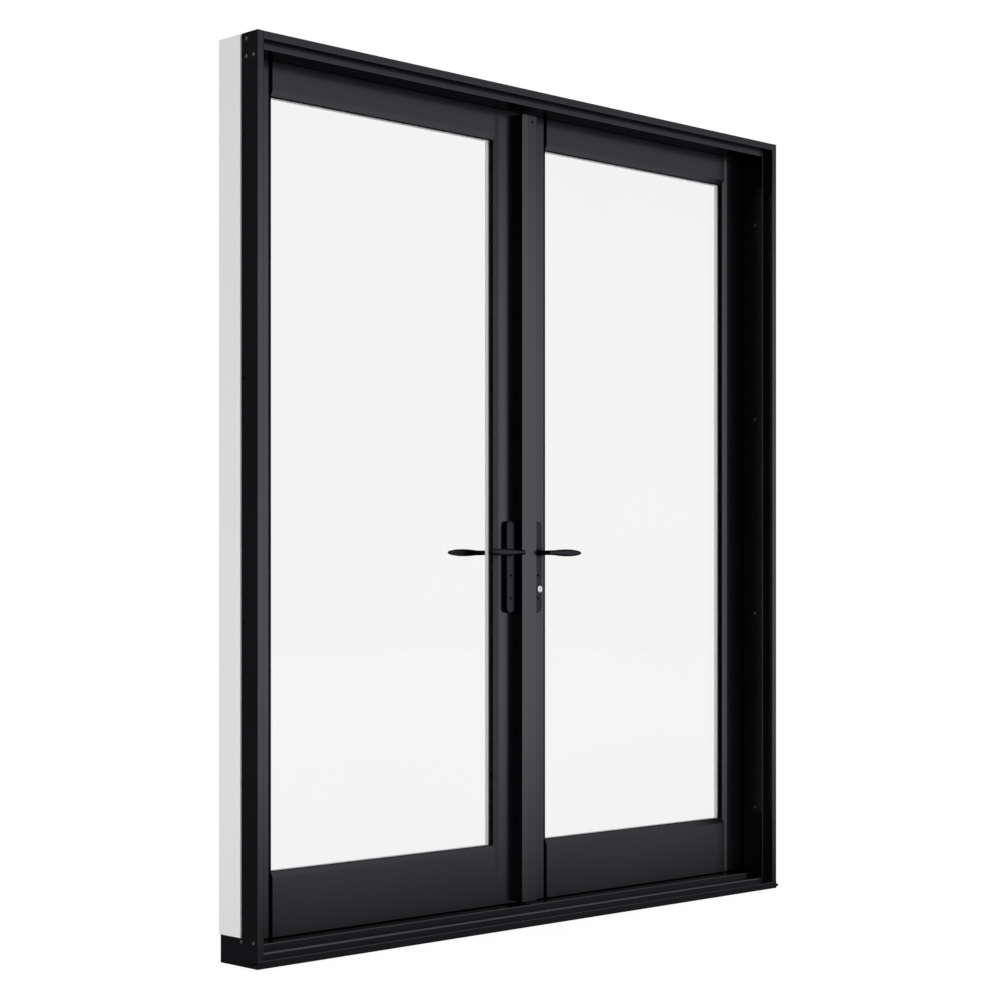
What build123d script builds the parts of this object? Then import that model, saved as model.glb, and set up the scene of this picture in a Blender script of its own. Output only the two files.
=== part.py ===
from build123d import *
import math
import os

# Double hinged patio door that opens inwards: black fiberglass frame with a white
# interior liner, and two glazed panels that close on a T-shaped astragal.
# Millimetres. X runs across the door from its centre line, Y runs from outside to
# inside with zero at mid depth of the frame, Z rises from the underside of the sill.

NEAR_CORNER = 0.05          # how near a named point a corner must lie to be rounded

# Frame lineals
FRAME_WIDTH = 1829.0        # over the outer sides of the two jambs
FRAME_HEIGHT = 2083.0       # underside of the sill to the top of the head
FRAME_DEPTH = 142.0         # outside flange to the interior edge of the liner
FLANGE_FACE = 17.5          # face width of the outer flange
FLANGE_DEPTH = 22.0         # flange face back to the stop face
STOP_FACE = 17.5            # face width of the stop beside the flange
CLADDING_DEPTH = 63.0       # how far back the black outer side runs
STOP_DEPTH = 88.0           # outside flange back to the seat of the panels
FRAME_WALL = 3.0            # wall of the hollow lineals
FRAME_EASE = 1.2            # eased edges of the lineals
FIN_GROOVE_WIDTH = 6.0      # shadow groove between black side and white liner
FIN_GROOVE_DEPTH = 4.0
LINER_THICKNESS = 22.0      # white liner behind the stop
FOOT_HEIGHT = 63.5          # black foot under each side liner
FOOT_DEPTH = 135.0          # outside flange back to the end of foot and sill

# Sill and threshold
LIP_HEIGHT = 17.5           # front lip that runs under both jambs
LIP_GROOVE_HEIGHT = 12.0    # shadow groove in the lip's face
LIP_GROOVE = 1.2            # width and depth of that groove
SILL_HEIGHT = 32.0          # top of the sill's nosing
SILL_NOSE_RADIUS = 5.0
SILL_WALL = 4.0             # walls of the hollow sill
THRESHOLD_FRONT = 49.0      # outside flange back to the threshold
THRESHOLD_THICKNESS = 13.0
THRESHOLD_EASE = 2.0
HORN_LENGTH = 9.0           # tab past each end of the lip
HORN_HEIGHT = 7.0
HORN_LIFT = 4.0

# Fixing holes through the jambs
FIXING_HOLE_RADIUS = 2.75
FIXING_ACCESS_RADIUS = 5.0  # larger hole in the inner wall, for the screw's head
FIXING_DEPTH = 50.0         # outside flange back to the row of holes
FIXING_END = 225.0          # first and last hole from the frame's ends
FIXING_COUNT = 4

# Weatherstrip on the stop
KERF_WIDTH = 3.0
KERF_DEPTH = 6.0
BULB_WIDTH = 9.0
SEAL_CLEARANCE = 0.3        # left between a seal and what it closes on

# Panels
PANEL_THICKNESS = 44.5
PANEL_SEAT = 5.5            # stop face to panel face, filled by the weatherstrip
PANEL_GAP = 3.0             # round the two sides and the top
BOTTOM_GAP = 3.0            # threshold to panel
MEETING_GAP = 4.0           # between the two panels
STILE_WIDTH = 91.0          # panel edge to the sight line
TOP_RAIL = 89.0
BOTTOM_RAIL = 148.5
SLOPE_WIDTH = 12.5          # sloped edge of stiles and rails towards the glass
SLOPE_DEPTH = 7.0
GASKET_DEPTH = 8.0          # panel face back to the glazing gasket
REBATE_WIDTH = 14.0         # sight line out to the wall of the rebate

# Glazing
GASKET_THICKNESS = 2.0
GASKET_SHOW = 1.5           # gasket seen inside the sight line
PANE_THICKNESS = 3.0
PANE_SPACE = 9.0            # between the two panes
PANE_CLEARANCE = 2.0        # edge of the glass to the wall of the rebate
SPACER_WIDTH = 11.5
BEAD_SLOPE_WIDTH = 12.0     # sloped part of the beads on the room side
BEAD_SLOPE_DEPTH = 9.0

# Sweep under each panel
SWEEP_DEPTH = 30.0
SWEEP_END_GAP = 2.0
SWEEP_FIN_WIDTH = 3.0
SWEEP_FIN_HEIGHT = 6.0

# Astragal on the meeting line
ASTRAGAL_WIDTH = 49.0
ASTRAGAL_PROUD = 31.0       # front of the astragal to the panel face
ASTRAGAL_BEVEL = 18.0       # sloped part of its face, on the left
ASTRAGAL_BEVEL_DROP = 3.0
ASTRAGAL_LOWER_GAP = 6.0    # threshold to astragal
ASTRAGAL_UPPER_GAP = 9.0    # head stop to astragal
ASTRAGAL_SEAL_SPACE = 5.5   # behind its free leg
ASTRAGAL_EASE = 1.0
ASTRAGAL_SEAL_INSET = 14.0  # middle of its seal from the centre line

# Hinges
HINGE_LENGTH = 100.0
HINGE_END = 230.0           # outer hinges from the panel's ends
HINGE_COUNT = 3
LEAF_THICKNESS = 2.5
LEAF_DEPTH = 34.0           # leaf, measured into the jamb from its front
KNUCKLE_RADIUS = 6.5
PIN_RADIUS = 3.0
PIN_CLEARANCE = 0.1
PIN_TIP = 3.0               # pin past the outer knuckles
KNUCKLE_CLEARANCE = 0.4
PIN_STANDOFF = 7.5          # hinge axis in front of the frame's interior edge

# Lever handles
LEVER_HEIGHT = 932.5        # lever axis above the underside of the sill
LEVER_BACKSET = 47.0        # panel edge to lever axis
LEVER_LENGTH = 108.0        # lever axis to the tip
LEVER_PROUD = 62.0          # panel face to the front of the lever
LEVER_THICKNESS = 12.0
LEVER_HEIGHT_FULL = 18.0    # at its fullest
# Outline of the lever: share of its length, share of its full height
LEVER_OUTLINE = [(-0.056, 0.50), (-0.023, 0.69), (0.13, 0.70), (0.28, 0.87), (0.42, 0.97),
                 (0.56, 1.0), (0.70, 0.96), (0.83, 0.81), (0.935, 0.62), (1.0, 0.38)]
LEVER_BEVEL = 4.0           # sloped edges along the lever
LEVER_BEVEL_LIMIT = 0.7     # most of its half height that a bevel takes
LEVER_END_BEVEL = 1.5       # thinning of both ends
NECK_RADIUS = 6.0
COLLAR_RADIUS = 9.4         # collar round the lever's neck, turning in the plate
COLLAR_THICKNESS = 5.0      # in front of the plate
SPINDLE_SIDE = 7.0
SPINDLE_REACH = 34.0        # panel face to the spindle's end
SPINDLE_BORE_RADIUS = 7.0
PLATE_WIDTH = 28.0
PLATE_LENGTH = 232.0
PLATE_ABOVE_LEVER = 79.5    # lever axis to the top of the plate
PLATE_THICKNESS = 12.0
PLATE_BEVEL = 1.5
RUNNING_CLEARANCE = 0.3     # round what turns or slides

# Key cylinder and thumb turn
CYLINDER_DROP = 92.5        # below the lever axis
CYLINDER_RADIUS = 8.5
CYLINDER_PROUD = 19.0
CYLINDER_BEVEL = 0.6
PLUG_RADIUS = 6.3
KEYWAY_WIDTH = 2.2
KEYWAY_HEIGHT = 8.5
KEYWAY_DEPTH = 12.0
TAIL_WIDTH = 7.0
TAIL_THICKNESS = 2.5
TURN_ROSE_RADIUS = 9.0
TURN_LENGTH = 26.0
TURN_THICKNESS = 6.0
TURN_BEVEL = 2.0
TURN_PROUD = 29.0

# Locks, tongues and shoot bolts
STRIP_WIDTH = 18.0          # metal strip let into the meeting edge
STRIP_THICKNESS = 2.5
STRIP_LOWER_END = 252.0     # lower end of the strip above the panel's bottom
STRIP_UPPER_END = 298.0     # upper end below the panel's top
CASE_DEPTH = 68.0           # case into the stile, behind the strip
CASE_THICKNESS = 16.0
CASE_ABOVE_LEVER = 60.0
ACTIVE_CASE_BELOW_LEVER = 170.0
PASSIVE_CASE_BELOW_LEVER = 60.0
TONGUE_HEIGHT = 24.0
TONGUE_THICKNESS = 10.0
TONGUE_BEVEL = 2.5
TONGUE_LENGTH = 32.0
TONGUE_THROW = 16.0
TONGUE_BOX_HEIGHT = 60.0
MIDDLE_TONGUE_DROP = 140.0  # below the lever axis
TONGUE_END = 60.0           # outer tongues from the strip's ends
STRIKE_CLEARANCE = 1.5      # round a tongue in its strike
ROD_RADIUS = 5.0
ROD_INSET = 36.0            # panel edge to the shoot bolts
ROD_THROW = 12.0
ROD_BEVEL = 1.0
KEEPER_LENGTH = 60.0
KEEPER_WIDTH = 24.0
KEEPER_THICKNESS = 2.0
KEEPER_CLEARANCE = 1.0      # round a shoot bolt in its keeper

# Worked-out places
HALF_WIDTH = FRAME_WIDTH / 2
JAMB_FACE = FLANGE_FACE + STOP_FACE
U_KERF = (LINER_THICKNESS + JAMB_FACE) / 2
Y_OUTSIDE = -FRAME_DEPTH / 2
Y_INSIDE = FRAME_DEPTH / 2
Y_FLANGE_BACK = Y_OUTSIDE + FLANGE_DEPTH
Y_CLADDING_BACK = Y_OUTSIDE + CLADDING_DEPTH
Y_STOP = Y_OUTSIDE + STOP_DEPTH
Y_FOOT_BACK = Y_OUTSIDE + FOOT_DEPTH
Y_PANEL = Y_STOP + PANEL_SEAT
Y_PANEL_BACK = Y_PANEL + PANEL_THICKNESS
Y_PANEL_MIDDLE = Y_PANEL + PANEL_THICKNESS / 2
Y_HINGE = Y_INSIDE + PIN_STANDOFF
Z_THRESHOLD = SILL_HEIGHT + THRESHOLD_THICKNESS
Z_PANEL = Z_THRESHOLD + BOTTOM_GAP
Z_PANEL_TOP = FRAME_HEIGHT - LINER_THICKNESS - PANEL_GAP
Z_HEAD_STOP = FRAME_HEIGHT - JAMB_FACE
X_LINER = HALF_WIDTH - LINER_THICKNESS
X_JAMB = HALF_WIDTH - JAMB_FACE
X_MEET = MEETING_GAP / 2
X_EDGE = X_LINER - PANEL_GAP
X_HINGE = X_EDGE + PANEL_GAP / 2
SIGHT_INNER = X_MEET + STILE_WIDTH
SIGHT_OUTER = X_EDGE - STILE_WIDTH
SIGHT_LOWER = Z_PANEL + BOTTOM_RAIL
SIGHT_UPPER = Z_PANEL_TOP - TOP_RAIL
Y_SLOPE_BACK = Y_PANEL + SLOPE_DEPTH
Y_GASKET = Y_PANEL + GASKET_DEPTH
Y_OUTER_PANE = Y_GASKET + GASKET_THICKNESS
Y_INNER_PANE = Y_OUTER_PANE + PANE_THICKNESS + PANE_SPACE
Y_GLASS_BACK = Y_INNER_PANE + PANE_THICKNESS
GLASS_LAP = REBATE_WIDTH - PANE_CLEARANCE
X_LEVER = X_MEET + LEVER_BACKSET
Z_CYLINDER = LEVER_HEIGHT - CYLINDER_DROP
Z_PLATE = LEVER_HEIGHT + PLATE_ABOVE_LEVER - PLATE_LENGTH / 2
X_STRIP_BACK = X_MEET + STRIP_THICKNESS
X_CASE_BACK = X_STRIP_BACK + CASE_DEPTH
X_ROD = X_MEET + ROD_INSET
X_TONGUE = X_MEET + RUNNING_CLEARANCE
Z_STRIP = (Z_PANEL + STRIP_LOWER_END, Z_PANEL_TOP - STRIP_UPPER_END)
TONGUE_HEIGHTS = [Z_STRIP[0] + TONGUE_END, LEVER_HEIGHT - MIDDLE_TONGUE_DROP,
                  Z_STRIP[1] - TONGUE_END]


def block(x_span, y_span, z_span):
    """A block between two places on each axis."""
    sizes = [span[1] - span[0] for span in (x_span, y_span, z_span)]
    middle = [(span[0] + span[1]) / 2 for span in (x_span, y_span, z_span)]
    return Pos(*middle) * Box(*sizes)


def around(centre, size):
    """The span of a given size about a centre."""
    return (centre - size / 2, centre + size / 2)


def eased_outline(points, eased, radius):
    """A flat outline with some of its corners rounded."""
    outline = make_face(Polyline(*points, close=True))
    corners = [v for v in outline.vertices()
               if any(math.dist((v.X, v.Y), point) < NEAR_CORNER for point in eased)]
    return fillet(corners, radius) if corners else outline


def along_z(outline, z_span):
    """An XY outline as a post."""
    return extrude(Pos(0, 0, z_span[0]) * outline, amount=z_span[1] - z_span[0], dir=(0, 0, 1))


def along_x(outline, x_span):
    """A YZ outline as a beam."""
    plane = Plane.YZ.offset(x_span[0])
    return extrude(plane * outline, amount=x_span[1] - x_span[0], dir=(1, 0, 0))


def along_y(outline, y_span):
    """An XZ outline as a slab."""
    plane = Plane(origin=(0, y_span[0], 0), x_dir=(1, 0, 0), z_dir=(0, -1, 0))
    return extrude(plane * outline, amount=y_span[1] - y_span[0], dir=(0, 1, 0))


def rod_z(x, y, z_span, radius):
    """A round rod standing up."""
    return Pos(x, y, sum(z_span) / 2) * Cylinder(radius, z_span[1] - z_span[0])


def rod_y(x, z, y_span, radius):
    """A round rod from outside to inside."""
    return Pos(x, sum(y_span) / 2, z) * Rot(90, 0, 0) * Cylinder(radius, y_span[1] - y_span[0])


def rod_x(y, z, x_span, radius):
    """A round rod across the door."""
    return Pos(sum(x_span) / 2, y, z) * Rot(0, 90, 0) * Cylinder(radius, x_span[1] - x_span[0])


def left_of(part):
    """The same part on the other side of the centre line."""
    return mirror(part, about=Plane.YZ)


def group(parts):
    """Like pieces kept as separate solids under one name."""
    return Compound(children=[solid for part in parts for solid in part.solids()])


# Frame

def lineal_outline(place):
    """Cross-section of jamb and head. place(u, y) turns distance from the outer side
    and depth into outline coordinates."""
    points = [(0, Y_OUTSIDE), (FLANGE_FACE, Y_OUTSIDE), (FLANGE_FACE, Y_FLANGE_BACK),
              (JAMB_FACE, Y_FLANGE_BACK), (JAMB_FACE, Y_STOP), (LINER_THICKNESS, Y_STOP),
              (LINER_THICKNESS, Y_CLADDING_BACK), (0, Y_CLADDING_BACK)]
    eased = [points[index] for index in (0, 1, 3, 4)]
    outline = eased_outline([place(*p) for p in points], [place(*p) for p in eased], FRAME_EASE)
    chambers = [
        ((FRAME_WALL, Y_OUTSIDE + FRAME_WALL), (FLANGE_FACE - FRAME_WALL, Y_FLANGE_BACK)),
        ((FRAME_WALL, Y_FLANGE_BACK + FRAME_WALL),
         (JAMB_FACE - FRAME_WALL, Y_CLADDING_BACK - FIN_GROOVE_WIDTH - FRAME_WALL)),
        ((LINER_THICKNESS + FRAME_WALL, Y_CLADDING_BACK),
         (JAMB_FACE - FRAME_WALL, Y_STOP - KERF_DEPTH - FRAME_WALL)),
        ((U_KERF - KERF_WIDTH / 2, Y_STOP - KERF_DEPTH), (U_KERF + KERF_WIDTH / 2, Y_STOP)),
    ]
    for low, high in chambers:
        corners = [low, (high[0], low[1]), high, (low[0], high[1])]
        outline -= make_face(Polyline(*[place(*p) for p in corners], close=True))
    return outline


def fixing_heights():
    """Heights of the fixing holes in each jamb."""
    step = (FRAME_HEIGHT - 2 * FIXING_END) / (FIXING_COUNT - 1)
    return [FIXING_END + index * step for index in range(FIXING_COUNT)]


def fin_groove():
    """Depth of the shadow groove in front of the white liner."""
    return (Y_CLADDING_BACK - FIN_GROOVE_WIDTH, Y_CLADDING_BACK)


def right_jamb():
    """Hollow black lineal that runs the full height, notched over the sill's lip."""
    outline = lineal_outline(lambda u, y: (HALF_WIDTH - u, y))
    jamb = along_z(outline, (0, FRAME_HEIGHT))
    jamb -= block((0, FRAME_WIDTH), (Y_OUTSIDE, Y_FLANGE_BACK), (0, LIP_HEIGHT))
    groove = (HALF_WIDTH - FIN_GROOVE_DEPTH, HALF_WIDTH)
    jamb -= block(groove, fin_groove(), (FOOT_HEIGHT, FRAME_HEIGHT))
    inner_wall = (X_JAMB, X_JAMB + FRAME_WALL)
    outer_wall = (HALF_WIDTH - FRAME_WALL, HALF_WIDTH)
    for z in fixing_heights():
        jamb -= rod_x(Y_OUTSIDE + FIXING_DEPTH, z, inner_wall, FIXING_ACCESS_RADIUS)
        jamb -= rod_x(Y_OUTSIDE + FIXING_DEPTH, z, outer_wall, FIXING_HOLE_RADIUS)
    return jamb


def head():
    """Black lineal between the jambs; its flange reaches in front of their stops."""
    outline = lineal_outline(lambda u, y: (y, FRAME_HEIGHT - u))
    reach = HALF_WIDTH - FLANGE_FACE
    beam = along_x(outline, (-reach, reach))
    beam -= block((-reach, reach), fin_groove(), (FRAME_HEIGHT - FIN_GROOVE_DEPTH, FRAME_HEIGHT))
    for side in ((X_JAMB, reach), (-reach, -X_JAMB)):
        beam -= block(side, (Y_FLANGE_BACK, Y_INSIDE), (0, FRAME_HEIGHT))
    return beam


def right_liner():
    """White interior liner of the jamb, standing on its black foot."""
    liner = block((X_LINER, HALF_WIDTH), (Y_CLADDING_BACK, Y_INSIDE), (FOOT_HEIGHT, FRAME_HEIGHT))
    edges = liner.edges().filter_by(Axis.Z).group_by(Axis.Y)[-1]
    liner = fillet(edges, FRAME_EASE)
    for z in hinge_heights():
        liner -= frame_leaf_plate(z)
    return liner


def head_liner():
    """White interior liner of the head, with the hole for the upper shoot bolt."""
    front = block((-X_JAMB, X_JAMB), (Y_CLADDING_BACK, Y_STOP), head_liner_heights())
    back = block((-X_LINER, X_LINER), (Y_STOP, Y_INSIDE), head_liner_heights())
    lower_edge = back.edges().filter_by(Axis.X).group_by(Axis.Y)[-1].group_by(Axis.Z)[0]
    liner = front + fillet(lower_edge, FRAME_EASE)
    liner -= upper_keeper_plate()
    top = head_liner_heights()[0] + ROD_THROW + KEEPER_CLEARANCE
    return liner - rod_z(-X_ROD, Y_PANEL_MIDDLE, (0, top), ROD_RADIUS + KEEPER_CLEARANCE)


def head_liner_heights():
    """Underside and top of the head's liner."""
    return (FRAME_HEIGHT - LINER_THICKNESS, FRAME_HEIGHT)


def jamb_feet():
    """Black blocks that carry the side liners beside the sill."""
    foot = block((X_LINER, HALF_WIDTH), (Y_CLADDING_BACK, Y_FOOT_BACK), (0, FOOT_HEIGHT))
    return group([foot, left_of(foot)])


def sill():
    """Hollow sill between the jambs, with a lip that runs under them and a small horn
    at each end."""
    body_span = (Y_FLANGE_BACK, Y_FOOT_BACK)
    points = [(body_span[0], 0), (body_span[0], SILL_HEIGHT), (body_span[1], SILL_HEIGHT),
              (body_span[1], 0)]
    outline = eased_outline(points, [points[1]], SILL_NOSE_RADIUS)
    body = along_x(outline, (-X_JAMB, X_JAMB))
    reach = block((-X_LINER, X_LINER), (Y_STOP, Y_FOOT_BACK), (0, SILL_HEIGHT))
    web = (Y_FLANGE_BACK + Y_FOOT_BACK) / 2
    chambers = [(Y_FLANGE_BACK + SILL_WALL, web - SILL_WALL / 2),
                (web + SILL_WALL / 2, Y_FOOT_BACK - SILL_WALL)]
    hollow = [block((-FRAME_WIDTH, FRAME_WIDTH), span, (SILL_WALL, SILL_HEIGHT - SILL_WALL))
              for span in chambers]
    lip = block((-HALF_WIDTH, HALF_WIDTH), (Y_OUTSIDE, Y_FLANGE_BACK), (0, LIP_HEIGHT))
    edge = lip.edges().filter_by(Axis.X).group_by(Axis.Y)[0].group_by(Axis.Z)[-1]
    lip = fillet(edge, FRAME_EASE)
    lip -= block((-FRAME_WIDTH, FRAME_WIDTH), (Y_OUTSIDE, Y_OUTSIDE + LIP_GROOVE),
                 around(LIP_GROOVE_HEIGHT, LIP_GROOVE))
    horn_reach = HALF_WIDTH + HORN_LENGTH
    horns = block((-horn_reach, horn_reach), (Y_OUTSIDE + LIP_GROOVE, Y_FLANGE_BACK),
                  (HORN_LIFT, HORN_LIFT + HORN_HEIGHT))
    return (body + reach - hollow) + lip + horns


def threshold():
    """Raised cap under the panels, with the hole for the lower shoot bolt."""
    points = [(Y_OUTSIDE + THRESHOLD_FRONT, SILL_HEIGHT), (Y_OUTSIDE + THRESHOLD_FRONT, Z_THRESHOLD),
              (Y_STOP, Z_THRESHOLD), (Y_STOP, SILL_HEIGHT)]
    front = along_x(eased_outline(points, [points[1]], THRESHOLD_EASE), (-X_JAMB, X_JAMB))
    back = block((-X_LINER, X_LINER), (Y_STOP, Y_FOOT_BACK), (SILL_HEIGHT, Z_THRESHOLD))
    cap = front + back - lower_keeper_plate()
    hole = (Z_THRESHOLD - ROD_THROW + BOTTOM_GAP - KEEPER_CLEARANCE, Z_PANEL)
    return cap - rod_z(-X_ROD, Y_PANEL_MIDDLE, hole, ROD_RADIUS + KEEPER_CLEARANCE)


def bulb_outline(centre, seat, reach, place):
    """Section of a kerf weatherstrip: a stem in the kerf and a round-backed bulb."""
    half = BULB_WIDTH / 2
    stem = [(centre - KERF_WIDTH / 2, seat - KERF_DEPTH), (centre + KERF_WIDTH / 2, seat - KERF_DEPTH),
            (centre + KERF_WIDTH / 2, seat), (centre - KERF_WIDTH / 2, seat)]
    bulb = [(centre - half, seat), (centre + half, seat), (centre + half, reach),
            (centre - half, reach)]
    bulb_face = eased_outline([place(*p) for p in bulb], [place(*p) for p in bulb[2:]],
                              (reach - seat) / 2)
    return make_face(Polyline(*[place(*p) for p in stem], close=True)) + bulb_face


def frame_weatherstrip():
    """Kerf weatherstrip on both jamb stops and the head stop."""
    reach = Y_PANEL - SEAL_CLEARANCE
    side = bulb_outline(U_KERF, Y_STOP, reach, lambda u, y: (HALF_WIDTH - u, y))
    right = along_z(side, (Z_THRESHOLD, FRAME_HEIGHT - U_KERF - BULB_WIDTH / 2))
    top = bulb_outline(U_KERF, Y_STOP, reach, lambda u, y: (y, FRAME_HEIGHT - u))
    return group([right, left_of(right), along_x(top, (-X_JAMB, X_JAMB))])


# Hinges

def hinge_heights():
    """Middle height of each hinge."""
    lowest = Z_PANEL + HINGE_END
    step = (Z_PANEL_TOP - HINGE_END - lowest) / (HINGE_COUNT - 1)
    return [lowest + index * step for index in range(HINGE_COUNT)]


def frame_leaf_plate(z):
    """Flat part of the frame's leaf, let into the liner."""
    return block((X_LINER, X_LINER + LEAF_THICKNESS), (Y_INSIDE - LEAF_DEPTH, Y_HINGE),
                 around(z, HINGE_LENGTH))


def panel_leaf_plate(z):
    """Flat part of the panel's leaf, let into the panel's edge."""
    return block((X_EDGE - LEAF_THICKNESS, X_EDGE), (Y_INSIDE - LEAF_DEPTH, Y_HINGE),
                 around(z, HINGE_LENGTH))


def outer_knuckles(z):
    """Heights of a hinge's two outer knuckles, which belong to the frame."""
    third = HINGE_LENGTH / 3
    return [around(z - third, third), around(z + third, third)]


def knuckle_room(z_span):
    """Straight notch in a leaf's edge beside the other leaf's knuckle."""
    room = KNUCKLE_RADIUS + KNUCKLE_CLEARANCE
    return block(around(X_HINGE, 2 * room), around(Y_HINGE, 2 * room), z_span)


def frame_leaf(z):
    """Leaf on the frame, with the outer knuckles and the pin through them."""
    leaf = frame_leaf_plate(z) - knuckle_room(around(z, HINGE_LENGTH / 3))
    for span in outer_knuckles(z):
        leaf += rod_z(X_HINGE, Y_HINGE, span, KNUCKLE_RADIUS)
    return leaf + rod_z(X_HINGE, Y_HINGE, around(z, HINGE_LENGTH + 2 * PIN_TIP), PIN_RADIUS)


def panel_leaf(z):
    """Leaf on the panel, with the middle knuckle bored for the pin."""
    leaf = panel_leaf_plate(z)
    for low, high in outer_knuckles(z):
        leaf -= knuckle_room((low - KNUCKLE_CLEARANCE, high + KNUCKLE_CLEARANCE))
    middle = around(z, HINGE_LENGTH / 3 - 2 * KNUCKLE_CLEARANCE)
    leaf += rod_z(X_HINGE, Y_HINGE, middle, KNUCKLE_RADIUS)
    return leaf - rod_z(X_HINGE, Y_HINGE, middle, PIN_RADIUS + PIN_CLEARANCE)


def frame_hinge_leaves():
    """Leaves and pins on both jambs."""
    leaves = [frame_leaf(z) for z in hinge_heights()]
    return group(leaves + [left_of(leaf) for leaf in leaves])


def panel_hinge_leaves():
    """Leaves on one panel."""
    return group([panel_leaf(z) for z in hinge_heights()])


# Panel members

def sight_frame(grow, y_span):
    """A block over the sight opening, larger by grow on every side."""
    return block((SIGHT_INNER - grow, SIGHT_OUTER + grow), y_span,
                 (SIGHT_LOWER - grow, SIGHT_UPPER + grow))


def glazing_rebate():
    """Room for the glass and its beads, open to the room side."""
    return sight_frame(REBATE_WIDTH, (Y_GASKET, Y_PANEL_BACK))


def stile(edge, sight):
    """Full-height stile whose edge slopes back towards the glass."""
    shoulder = sight + math.copysign(SLOPE_WIDTH, edge - sight)
    points = [(edge, Y_PANEL), (shoulder, Y_PANEL), (sight, Y_SLOPE_BACK), (sight, Y_PANEL_BACK),
              (edge, Y_PANEL_BACK)]
    post = along_z(make_face(Polyline(*points, close=True)), (Z_PANEL, Z_PANEL_TOP))
    return post - glazing_rebate()


def rail(edge, sight):
    """Rail between the stiles, sloped and rebated like them."""
    shoulder = sight + math.copysign(SLOPE_WIDTH, edge - sight)
    points = [(Y_PANEL, edge), (Y_PANEL, shoulder), (Y_SLOPE_BACK, sight), (Y_PANEL_BACK, sight),
              (Y_PANEL_BACK, edge)]
    beam = along_x(make_face(Polyline(*points, close=True)), (SIGHT_INNER, SIGHT_OUTER))
    return beam - glazing_rebate()


def hinge_stile():
    """Stile on the hinge side, let in for the leaves."""
    post = stile(X_EDGE, SIGHT_OUTER)
    for z in hinge_heights():
        post -= panel_leaf_plate(z)
    return post


def active_meeting_stile():
    """Meeting stile of the panel that opens first, pocketed for its lock."""
    post = stile(X_MEET, SIGHT_INNER)
    post -= strip_and_case(ACTIVE_CASE_BELOW_LEVER)
    post -= tongue_boxes()
    post -= handle_bore()
    return post - rod_y(X_LEVER, Z_CYLINDER, (Y_PANEL, Y_PANEL_BACK), CYLINDER_RADIUS)


def passive_meeting_stile():
    """Meeting stile of the other panel, built on the right side and mirrored later:
    pocketed for its gear, its strikes and the two shoot bolts."""
    post = stile(X_MEET, SIGHT_INNER)
    post -= strip_and_case(PASSIVE_CASE_BELOW_LEVER)
    post -= strike_pockets()
    post -= handle_bore()
    bore = ROD_RADIUS + RUNNING_CLEARANCE
    for span in rod_spans():
        lowest = max(span[0] - ROD_THROW - RUNNING_CLEARANCE, Z_PANEL)
        highest = min(span[1] + ROD_THROW + RUNNING_CLEARANCE, Z_PANEL_TOP)
        post -= rod_z(X_ROD, Y_PANEL_MIDDLE, (lowest, highest), bore)
    return post


def bottom_rail():
    """Wide bottom rail, grooved below for the sweep's fins."""
    return rail(Z_PANEL, SIGHT_LOWER) - sweep_fins()


def top_rail():
    """Narrow top rail."""
    return rail(Z_PANEL_TOP, SIGHT_UPPER)


def sweep_fins():
    """Two fins that hold the sweep under the bottom rail."""
    z_span = (Z_PANEL, Z_PANEL + SWEEP_FIN_HEIGHT)
    offset = (SWEEP_DEPTH - SWEEP_FIN_WIDTH) / 2
    middles = (Y_PANEL_MIDDLE - offset, Y_PANEL_MIDDLE + offset)
    return [block((SIGHT_INNER, SIGHT_OUTER), around(y, SWEEP_FIN_WIDTH), z_span) for y in middles]


def sweep():
    """Flexible sweep under the panel, just clear of the threshold."""
    pad = block((X_MEET + SWEEP_END_GAP, X_EDGE - SWEEP_END_GAP),
                around(Y_PANEL_MIDDLE, SWEEP_DEPTH), (Z_THRESHOLD + SEAL_CLEARANCE, Z_PANEL))
    pad -= rod_z(X_ROD, Y_PANEL_MIDDLE, (Z_THRESHOLD, Z_PANEL), ROD_RADIUS + RUNNING_CLEARANCE)
    return pad + sweep_fins()


# Glazing

def outer_pane():
    """Outside pane."""
    return sight_frame(GLASS_LAP, (Y_OUTER_PANE, Y_OUTER_PANE + PANE_THICKNESS))


def inner_pane():
    """Inside pane."""
    return sight_frame(GLASS_LAP, (Y_INNER_PANE, Y_GLASS_BACK))


def glass_spacer():
    """Spacer bar and sealant round the edge, between the panes."""
    y_span = (Y_OUTER_PANE + PANE_THICKNESS, Y_INNER_PANE)
    return sight_frame(GLASS_LAP, y_span) - sight_frame(GLASS_LAP - SPACER_WIDTH, y_span)


def glazing_gasket():
    """Black gasket between the sticking and the outside pane."""
    y_span = (Y_GASKET, Y_OUTER_PANE)
    return sight_frame(GLASS_LAP, y_span) - sight_frame(-GASKET_SHOW, y_span)


def bead_taper():
    """The tapered mouth inside the beads, widest at the room side."""
    centre = ((SIGHT_INNER + SIGHT_OUTER) / 2, (SIGHT_LOWER + SIGHT_UPPER) / 2)
    width = SIGHT_OUTER - SIGHT_INNER
    height = SIGHT_UPPER - SIGHT_LOWER
    faces = []
    for y, grow in ((Y_PANEL_BACK, BEAD_SLOPE_WIDTH), (Y_PANEL_BACK - BEAD_SLOPE_DEPTH, 0)):
        plane = Plane(origin=(centre[0], y, centre[1]), x_dir=(1, 0, 0), z_dir=(0, -1, 0))
        faces.append(plane * Rectangle(width + 2 * grow, height + 2 * grow))
    return loft(faces)


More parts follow.
